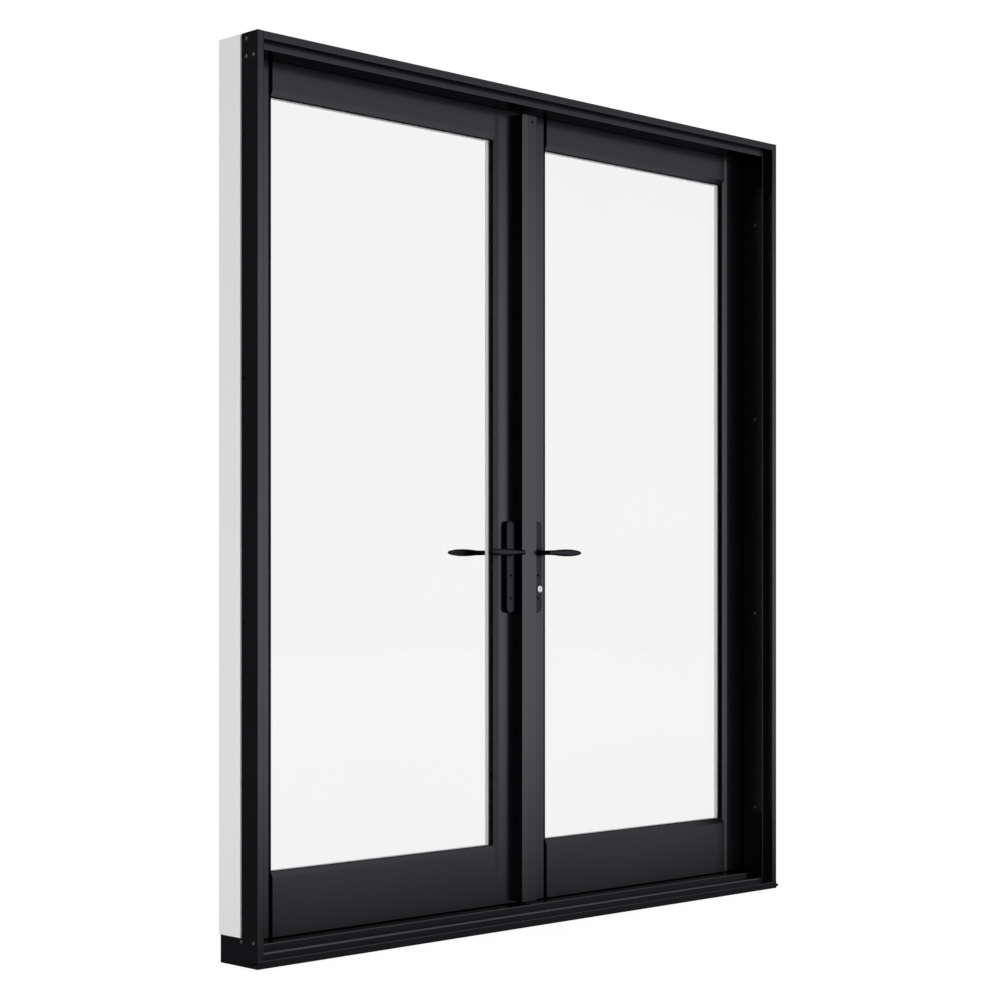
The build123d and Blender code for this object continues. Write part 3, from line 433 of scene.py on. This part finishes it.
def button_cap(name, radius, height):
    """A round cap with a raised button, standing on z = 0 and facing +z."""
    cap = round_blank(name, radius, height)
    bpy.ops.mesh.inset(thickness=radius * CAP_RIM)
    bpy.ops.mesh.extrude_region_move(TRANSFORM_OT_translate={"value": (0, 0, height)})
    raise_steps(radius, height, CAP_STEPS)
    bpy.ops.object.mode_set(mode="OBJECT")
    only(cap)
    bpy.ops.object.shade_smooth_by_angle(angle=CAP_EDGE_ANGLE)
    return cap


def cut_slot(obj, size, centre, turn):
    """Cuts a straight slot out of an object."""
    deselect()
    bpy.ops.mesh.primitive_cube_add(size=1, location=centre, rotation=(0, 0, turn))
    cutter = bpy.context.object
    cutter.scale = size
    settle(cutter)
    only(obj)
    boolean = obj.modifiers.new("slot", "BOOLEAN")
    boolean.operation = "DIFFERENCE"
    boolean.object = cutter
    bpy.ops.object.modifier_apply(modifier=boolean.name)
    bpy.data.objects.remove(cutter)


def copy_to(master, name, place, facing):
    """A copy of a small fitting with its own mesh, standing at a place and facing a way."""
    piece = master.copy()
    piece.data = master.data.copy()
    piece.name = name
    bpy.context.scene.collection.objects.link(piece)
    turn = Vector((0, 0, 1)).rotation_difference(Vector(facing)).to_matrix().to_4x4()
    piece.data.transform(Matrix.Translation(place) @ turn)
    piece.matrix_world = Matrix.Identity(4)
    return piece


def join(parts, name):
    """Joins like pieces into one."""
    deselect()
    for part in parts:
        part.select_set(True)
    bpy.context.view_layer.objects.active = parts[0]
    bpy.ops.object.join()
    joined = bpy.context.object
    joined.name = name
    return joined


# Sizes and colours that a user would change

class DoorFinishes(bpy.types.PropertyGroup):
    """Colours of the door."""
    frame_black: bpy.props.FloatVectorProperty(
        name="Frame black", description="Colour of jambs, head and sill", subtype="COLOR",
        default=(0.0750, 0.0732, 0.0835), min=0, max=1)
    panel_black: bpy.props.FloatVectorProperty(
        name="Panel black", description="Outside colour of the panel members", subtype="COLOR",
        default=(0.0750, 0.0732, 0.0830), min=0, max=1)
    handle_black: bpy.props.FloatVectorProperty(
        name="Handle black", description="Colour of plates and levers", subtype="COLOR",
        default=(0.0325, 0.0312, 0.0372), min=0, max=1)
    room_white: bpy.props.FloatVectorProperty(
        name="Room white", description="Colour of liner, beads and the panels' room side",
        subtype="COLOR", default=(0.86, 0.86, 0.865), min=0, max=1)
    seal_black: bpy.props.FloatVectorProperty(
        name="Seal black", description="Colour of gaskets, weatherstrips and sweeps",
        subtype="COLOR", default=(0.0012, 0.0012, 0.0012), min=0, max=1)
    glass_tint: bpy.props.FloatVectorProperty(
        name="Glass tint", description="Light that each glass face lets through", subtype="COLOR",
        default=(0.977, 0.977, 0.977), min=0, max=1)


class DoorFittings(bpy.types.PropertyGroup):
    """Sizes of the small fittings."""
    plate_screw_radius: bpy.props.FloatProperty(
        name="Plate screw radius", description="Head of the handle plates' screws",
        default=0.0036, unit="LENGTH")
    side_screw_radius: bpy.props.FloatProperty(
        name="Side screw radius", description="Head of the assembly screws in the jambs' sides",
        default=0.0039, unit="LENGTH")
    leaf_screw_radius: bpy.props.FloatProperty(
        name="Hinge screw radius", description="Head of the hinge leaves' screws",
        default=0.0042, unit="LENGTH")
    strip_screw_radius: bpy.props.FloatProperty(
        name="Strip screw radius", description="Head of the lock strips' and keepers' screws",
        default=0.0036, unit="LENGTH")
    cap_radius: bpy.props.FloatProperty(
        name="Cap radius", description="Caps in the jambs' access holes",
        default=0.0048, unit="LENGTH")
    cap_height: bpy.props.FloatProperty(
        name="Cap height", description="Rim of a cap, and again of its button",
        default=0.0012, unit="LENGTH")
    dome: bpy.props.FloatProperty(
        name="Dome height", description="How far a domed screw head stands out",
        default=0.0013, unit="LENGTH")
    flush: bpy.props.FloatProperty(
        name="Flush height", description="How far a countersunk screw head stands out",
        default=0.0003, unit="LENGTH")


class DoorStage(bpy.types.PropertyGroup):
    """Light and floor."""
    ambient: bpy.props.FloatProperty(
        name="Ambient", description="Even light from all round", default=0.775, min=0)
    key_power: bpy.props.FloatProperty(
        name="Key power", description="Soft light from the right", default=25.0, unit="POWER")
    fill_power: bpy.props.FloatProperty(
        name="Fill power", description="Low soft light from the left", default=7.0, unit="POWER")
    floor_grey: bpy.props.FloatProperty(
        name="Floor", description="Grey of the floor under the door", default=0.94, min=0, max=1)
    floor_shadow: bpy.props.FloatProperty(
        name="Floor shadow", description="Share of the shading that the floor shows",
        default=0.10, min=0, max=1)


def finishes():
    return bpy.context.scene.door_finishes


def fittings():
    return bpy.context.scene.door_fittings


def lighting():
    return bpy.context.scene.door_stage


def of_both(*names):
    """Node names of both panels."""
    return [f"{side}_{name}" for side in SIDES for name in names]


class DOOR_OT_frame(bpy.types.Operator):
    """Finish the black frame, its white liner and its small parts"""
    bl_idname = "door.frame"
    bl_label = "Frame"

    def execute(self, context):
        colors = finishes()
        black = tuple(colors.frame_black)
        dress(["jamb_left", "jamb_right", "jamb_feet"], drawn_black("jamb_black", black, "Z"))
        dress(["head"], drawn_black("head_black", black, "X"))
        dress(["sill"], drawn_black("sill_black", black, "X", SILL_SATIN))
        dress(["threshold"], drawn_black("threshold_black", black, "X", SILL_SATIN))
        white = tuple(colors.room_white)
        dress(["liner_left", "liner_right"], white_satin("liner_white_upright", white, "Z"))
        dress(["liner_head"], white_satin("liner_white_across", white, "X"))
        dress(["frame_weatherstrip"], seal_rubber("weatherstrip_black", tuple(colors.seal_black)))
        dress(["head_keeper", "sill_keeper"], brushed_metal("keeper_steel", BOLT_STEEL, "X"))
        dress(["frame_hinge_leaves"], powder_black("hinge_black", tuple(colors.handle_black)))
        return {"FINISHED"}


class DOOR_OT_panels(bpy.types.Operator):
    """Finish the panel members, sweeps and astragal"""
    bl_idname = "door.panels"
    bl_label = "Panels"

    def execute(self, context):
        colors = finishes()
        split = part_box("active_hinge_stile")[1].y - ROOM_SKIN
        args = (tuple(colors.panel_black), tuple(colors.room_white), split)
        dress(of_both("hinge_stile", "meeting_stile"), two_tone_panel("stile_finish", *args, "Z"))
        dress(of_both("top_rail", "bottom_rail"), two_tone_panel("rail_finish", *args, "X"))
        dress(of_both("sweep") + ["astragal_seal"],
              seal_rubber("sweep_black", tuple(colors.seal_black)))
        black = shade(colors.panel_black, ASTRAGAL_LIGHTER)
        dress(["astragal"], drawn_black("astragal_black", black, "Z", ASTRAGAL_SATIN))
        dress(of_both("hinge_leaves"),
              powder_black("panel_leaf_black", tuple(colors.handle_black)))
        return {"FINISHED"}


class DOOR_OT_glazing(bpy.types.Operator):
    """Finish panes, spacers, gaskets and beads"""
    bl_idname = "door.glazing"
    bl_label = "Glazing"

    def execute(self, context):
        colors = finishes()
        dress(of_both("outer_pane", "inner_pane"),
              clear_pane("pane_glass", tuple(colors.glass_tint)))
        dress(of_both("glass_spacer"), seal_rubber("spacer_black", tuple(colors.seal_black)))
        dress(of_both("glazing_gasket"), seal_rubber("gasket_black", tuple(colors.seal_black)))
        # The beads take a lighter copy of the room white: painted light against the shade behind
        # the glass
        white = shade(colors.room_white, BEAD_PAINTED_LIGHT)
        dress(of_both("glazing_beads"), white_satin("bead_painted_light_white", white, "Z"))
        return {"FINISHED"}


class DOOR_OT_handles(bpy.types.Operator):
    """Finish plates, levers, locks and cylinder"""
    bl_idname = "door.handles"
    bl_label = "Handles"

    def execute(self, context):
        black = tuple(finishes().handle_black)
        dress(of_both("outside_plate", "inside_plate"), powder_black("plate_black", black))
        dress(of_both("outside_lever", "inside_lever") + ["thumb_turn"],
              powder_black("lever_black", black, LEVER_SATIN))
        dress(of_both("spindle", "lock"), brushed_metal("lock_steel", LOCK_STEEL, "Z"))
        dress(["lock_tongues"], brushed_metal("tongue_steel", BOLT_STEEL, "X"))
        dress(["passive_lower_bolt", "passive_upper_bolt"],
              brushed_metal("bolt_steel", BOLT_STEEL, "Z"))
        dress(["key_cylinder", "key_plug"],
              brushed_metal("cylinder_silver", SILVER, "X", SILVER_SATIN))
        return {"FINISHED"}


def screw_row(name, places, radius, height, material, body):
    """One piece of like screws. places holds (point on the surface, way it faces)."""
    place_row(pan_screw("screw_master", radius, height), name, places, material, body)


def place_row(master, name, places, material, body):
    """Copies a small fitting to its places and joins the copies into one piece."""
    master.data.materials.append(material)
    heads = [copy_to(master, f"{name}_{index}", place, facing)
             for index, (place, facing) in enumerate(places)]
    bpy.data.objects.remove(master)
    row = join(heads, name)
    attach(row, body)


class DOOR_OT_plate_screws(bpy.types.Operator):
    """Model the screws of the four handle plates and the astragal's end screw"""
    bl_idname = "door.plate_screws"
    bl_label = "Plate screws"

    def execute(self, context):
        sizes = fittings()
        black = shade(finishes().handle_black, PLATE_SCREW_DARKER)
        material = powder_black("plate_screw_black", black, PLATE_SCREW_DULL)
        for side in SIDES:
            for face, outward in (("outside", -1), ("inside", 1)):
                low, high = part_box(f"{side}_{face}_plate")
                seat = low.y if outward < 0 else high.y
                places = [(((low.x + high.x) / 2, seat, low.z + rise), (0, outward, 0))
                          for rise in PLATE_SCREW_RISES]
                screw_row(f"{side}_{face}_plate_screws", places, sizes.plate_screw_radius,
                          sizes.dome, material, f"{side}_panel")
        low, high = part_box("astragal")
        place = (high.x - ASTRAGAL_SCREW_INSET, low.y, high.z - ASTRAGAL_SCREW_DROP)
        screw_row("astragal_screw", [(place, (0, -1, 0))], sizes.plate_screw_radius, sizes.flush,
                  material, "passive_panel")
        return {"FINISHED"}


class DOOR_OT_side_screws(bpy.types.Operator):
    """Model the assembly screws in the outer sides of both jambs"""
    bl_idname = "door.side_screws"
    bl_label = "Side screws"

    def execute(self, context):
        sizes = fittings()
        material = brushed_metal("zinc_screws", ZINC, "Z", SCREW_SATIN)
        for jamb, outward in (("jamb_left", -1), ("jamb_right", 1)):
            low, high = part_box(jamb)
            side = low.x if outward < 0 else high.x
            places = [((side, low.y + depth, height), (outward, 0, 0))
                      for depth, height in SIDE_SCREWS]
            screw_row(f"{jamb}_screws", places, sizes.side_screw_radius, sizes.dome, material,
                      "frame")
        return {"FINISHED"}


class DOOR_OT_fixing_caps(bpy.types.Operator):
    """Model the caps in the access holes of both jambs"""
    bl_idname = "door.fixing_caps"
    bl_label = "Fixing caps"

    def execute(self, context):
        sizes = fittings()
        # The caps are the frame black made lighter: a painted highlight on their domes
        grey = shade(finishes().frame_black, CAP_PAINTED_HIGHLIGHT)
        material = powder_black("cap_painted_highlight_grey", grey, SCREW_SATIN)
        for jamb, inward in (("jamb_left", 1), ("jamb_right", -1)):
            low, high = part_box(jamb)
            face = high.x if inward > 0 else low.x
            step = (high.z - low.z - 2 * FIXING_END) / (FIXING_COUNT - 1)
            places = [((face - inward * CAP_SINK, low.y + FIXING_DEPTH, FIXING_END + index * step),
                       (inward, 0, 0)) for index in range(FIXING_COUNT)]
            place_row(button_cap("cap_master", sizes.cap_radius, sizes.cap_height),
                      f"{jamb}_caps", places, material, "frame")
        return {"FINISHED"}


class DOOR_OT_hinge_screws(bpy.types.Operator):
    """Model the countersunk screws of the hinge leaves"""
    bl_idname = "door.hinge_screws"
    bl_label = "Hinge screws"

    def execute(self, context):
        sizes = fittings()
        material = powder_black("leaf_screw_black", tuple(finishes().handle_black), SCREW_SATIN)
        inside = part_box("liner_right")[1].y
        for side, outward in (("active", 1), ("passive", -1)):
            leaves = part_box(f"{side}_hinge_leaves")
            lowest, highest = leaves[0].z + LEAF_HALF, leaves[1].z - LEAF_HALF
            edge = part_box(f"{side}_hinge_stile")[outward > 0].x
            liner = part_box("liner_right" if outward > 0 else "liner_left")[outward < 0].x
            spots = [(inside - depth, middle + rise)
                     for middle in (lowest, (lowest + highest) / 2, highest)
                     for depth, rise in LEAF_SCREWS]
            for name, face, facing, body in (
                    (f"{side}_leaf_screws", edge, outward, f"{side}_panel"),
                    (f"{side}_jamb_leaf_screws", liner, -outward, "frame")):
                places = [((face, y, z), (facing, 0, 0)) for y, z in spots]
                screw_row(name, places, sizes.leaf_screw_radius, sizes.flush, material, body)
        return {"FINISHED"}


class DOOR_OT_lock_screws(bpy.types.Operator):
    """Model the countersunk screws of the lock strips and of the two keepers"""
    bl_idname = "door.lock_screws"
    bl_label = "Lock screws"

    def execute(self, context):
        sizes = fittings()
        material = brushed_metal("strip_screw_steel", STRIP_SCREW_STEEL, "Y", SCREW_SATIN)
        for side, outward in (("active", -1), ("passive", 1)):
            low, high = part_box(f"{side}_lock")
            edge = low.x if outward < 0 else high.x
            heights = [low.z + STRIP_SCREW_END, high.z - STRIP_SCREW_END, *STRIP_SCREW_HEIGHTS]
            places = [((edge, (low.y + high.y) / 2, z), (outward, 0, 0)) for z in heights]
            screw_row(f"{side}_strip_screws", places, sizes.strip_screw_radius, sizes.flush,
                      material, f"{side}_panel")
        for keeper, upward in (("head_keeper", -1), ("sill_keeper", 1)):
            low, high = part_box(keeper)
            face = low.z if upward < 0 else high.z
            places = [((x, (low.y + high.y) / 2, face), (0, 0, upward))
                      for x in (low.x + KEEPER_SCREW_INSET, high.x - KEEPER_SCREW_INSET)]
            screw_row(f"{keeper}_screws", places, sizes.strip_screw_radius, sizes.flush, material,
                      "frame")
        return {"FINISHED"}


class DOOR_OT_stage(bpy.types.Operator):
    """Set up the camera, light, floor and background"""
    bl_idname = "door.stage"
    bl_label = "Stage"

    def execute(self, context):
        make_camera()
        make_world(lighting().ambient)
        make_floor(lighting().floor_grey, lighting().floor_shadow)
        make_wall()
        make_lamp("key_light", lighting().key_power, *KEY_LAMP)
        make_lamp("fill_light", lighting().fill_power, *FILL_LAMP)
        context.scene.view_settings.view_transform = "Standard"
        return {"FINISHED"}


def make_camera():
    """The photograph's camera: level, with the horizon below the middle."""
    camera = bpy.data.cameras.new("photo_camera")
    camera.lens = CAMERA_LENS
    camera.sensor_width = CAMERA_SENSOR
    camera.shift_y = HORIZON_SHIFT
    holder = bpy.data.objects.new("photo_camera", camera)
    holder.location = CAMERA_PLACE
    holder.rotation_euler = (math.pi / 2, 0, -CAMERA_HEADING)
    bpy.context.scene.collection.objects.link(holder)
    bpy.context.scene.camera = holder


def studio_in_gloss(finish):
    """Strength of the distant studio that the gloss sees: dark behind and to the left, a
    little lighter to the right, bright overhead."""
    way = finish.add("ShaderNodeTexCoord", {}, {}, "Generated")
    across, rise = (finish.add("ShaderNodeSeparateXYZ", {}, [way], axis) for axis in "XZ")
    right = finish.ramp(across, RIGHT_TURN) * (RIGHT_SIDE - DARK_SIDE)
    return DARK_SIDE + right + finish.ramp(rise, OVERHEAD_TURN) * (OVERHEAD - DARK_SIDE)


def wall_share(finish):
    """How bright the wall is along its width."""
    rise = finish.ramp(finish.axis("X"), WALL_BRIGHTENS)
    return WALL_LEFT_SHARE + rise * (1.0 - WALL_LEFT_SHARE)


def make_world(ambient):
    """White background, softer even light on the door, and a graded studio in the gloss."""
    world = bpy.data.worlds.new("studio")
    world.use_nodes = True
    bpy.context.scene.world = world
    finish = Finish("studio", world.node_tree)
    camera, glossy, through = (finish.add("ShaderNodeLightPath", {}, {}, name) for name in
                               ("Is Camera Ray", "Is Glossy Ray", "Is Transmission Ray"))
    seen = camera.calc("MAXIMUM", camera, through)
    strength = ambient + seen * (1.0 - ambient)
    strength = strength + glossy * (studio_in_gloss(finish) - strength)
    background = finish.add("ShaderNodeBackground", {},
                            {"Color": (1, 1, 1, 1), "Strength": strength})
    finish.add("ShaderNodeOutputWorld", {}, [background])


def make_floor(grey, shadow):
    """Pale floor that fades into the background and keeps part of the door's shadow. In the gloss
    it carries a painted shade of the door, dark next to it and brighter away from it.
    """
    deselect()
    bpy.ops.mesh.primitive_plane_add(size=FLOOR_SIZE, location=(0, 0, 0))
    floor = bpy.context.object
    floor.name = "studio_floor"
    bpy.ops.object.mode_set(mode="EDIT")
    bpy.ops.mesh.subdivide(number_cuts=3)
    bpy.ops.object.mode_set(mode="OBJECT")
    finish = Finish("studio_floor")
    mottle = finish.noise(scale=6, detail=3)
    color = finish.tones(mottle, (grey,) * 3, low=0.98)
    matt = finish.add("ShaderNodeBsdfDiffuse", {}, {"Color": color})
    white = finish.add("ShaderNodeEmission", {}, {"Color": (1, 1, 1, 1), "Strength": FLOOR_WHITE})
    camera, glossy = (finish.add("ShaderNodeLightPath", {}, {}, name)
                      for name in ("Is Camera Ray", "Is Glossy Ray"))
    shader = finish.add("ShaderNodeMixShader", {}, [camera * (1.0 - shadow), matt, white])
    # In the gloss the floor is dark next to the door and brightens away from it: a painted shade
    # of the door on the floor
    front = camera.calc("MINIMUM", finish.axis("Y"), 0.0)
    out_of_painted_shade = 1.0 - camera.calc("EXPONENT", front * FLOOR_BRIGHTENS, None)
    reflected = DARK_SIDE + out_of_painted_shade * wall_share(finish) * (1.0 - DARK_SIDE)
    dim = finish.add("ShaderNodeEmission", {}, {"Color": (1, 1, 1, 1), "Strength": reflected})
    floor.data.materials.append(finish.close(
        finish.add("ShaderNodeMixShader", {}, [glossy, shader, dim])))


def make_wall():
    """Bright wall in front of the door, darker towards its top, seen only in the gloss."""
    deselect()
    middle = sum(WALL_SPAN) / 2
    bpy.ops.mesh.primitive_plane_add(size=1, location=(middle, -WALL_DISTANCE, WALL_HEIGHT / 2),
                                     rotation=(-math.pi / 2, 0, 0))
    wall = bpy.context.object
    wall.name = "studio_wall"
    wall.scale = (WALL_SPAN[1] - WALL_SPAN[0], WALL_HEIGHT, 1)
    settle(wall)
    bpy.ops.object.mode_set(mode="EDIT")
    bpy.ops.mesh.subdivide(number_cuts=3)
    bpy.ops.object.mode_set(mode="OBJECT")
    finish = Finish("studio_wall")
    darker = finish.ramp(finish.axis("Z"), WALL_DARKENS) * (1.0 - DARK_SIDE)
    strength = wall_share(finish) * (1.0 - darker)
    wall.data.materials.append(finish.close(
        finish.add("ShaderNodeEmission", {}, {"Color": (1, 1, 1, 1), "Strength": strength})))
    for name in ("visible_camera", "visible_diffuse", "visible_transmission", "visible_shadow"):
        setattr(wall, name, False)


def make_lamp(name, power, size, place, aim):
    """A square soft light that shows neither to the camera nor in the gloss."""
    light = bpy.data.lights.new(name, "AREA")
    light.size = size
    light.energy = power
    holder = bpy.data.objects.new(name, light)
    holder.visible_glossy = False
    holder.visible_camera = False
    holder.location = place
    holder.rotation_euler = (Vector(aim) - Vector(place)).to_track_quat("-Z", "Y").to_euler()
    bpy.context.scene.collection.objects.link(holder)


class DOOR_PT_panel(bpy.types.Panel):
    """Door tools"""
    bl_label = "Door"
    bl_space_type = "VIEW_3D"
    bl_region_type = "UI"
    bl_category = "Door"

    def draw(self, context):
        for step in STEPS:
            self.layout.operator(step.bl_idname)
        for group in (finishes(), fittings(), lighting()):
            for name in group.bl_rna.properties.keys():
                if name not in ("rna_type", "name"):
                    self.layout.prop(group, name)


GROUPS = (("door_finishes", DoorFinishes), ("door_fittings", DoorFittings),
          ("door_stage", DoorStage))
STEPS = (DOOR_OT_stage, DOOR_OT_frame, DOOR_OT_panels, DOOR_OT_glazing, DOOR_OT_handles,
         DOOR_OT_plate_screws, DOOR_OT_side_screws, DOOR_OT_fixing_caps, DOOR_OT_hinge_screws,
         DOOR_OT_lock_screws)


def register():
    for name, group in GROUPS:
        bpy.utils.register_class(group)
        setattr(bpy.types.Scene, name, bpy.props.PointerProperty(type=group))
    for step in STEPS:
        bpy.utils.register_class(step)
    bpy.utils.register_class(DOOR_PT_panel)


def unregister():
    bpy.utils.unregister_class(DOOR_PT_panel)
    for step in reversed(STEPS):
        bpy.utils.unregister_class(step)
    for name, group in reversed(GROUPS):
        delattr(bpy.types.Scene, name)
        bpy.utils.unregister_class(group)


def main():
    register()
    for step in STEPS:
        area, action = step.bl_idname.split(".")
        getattr(getattr(bpy.ops, area), action)()


if __name__ == "__main__":
    main()
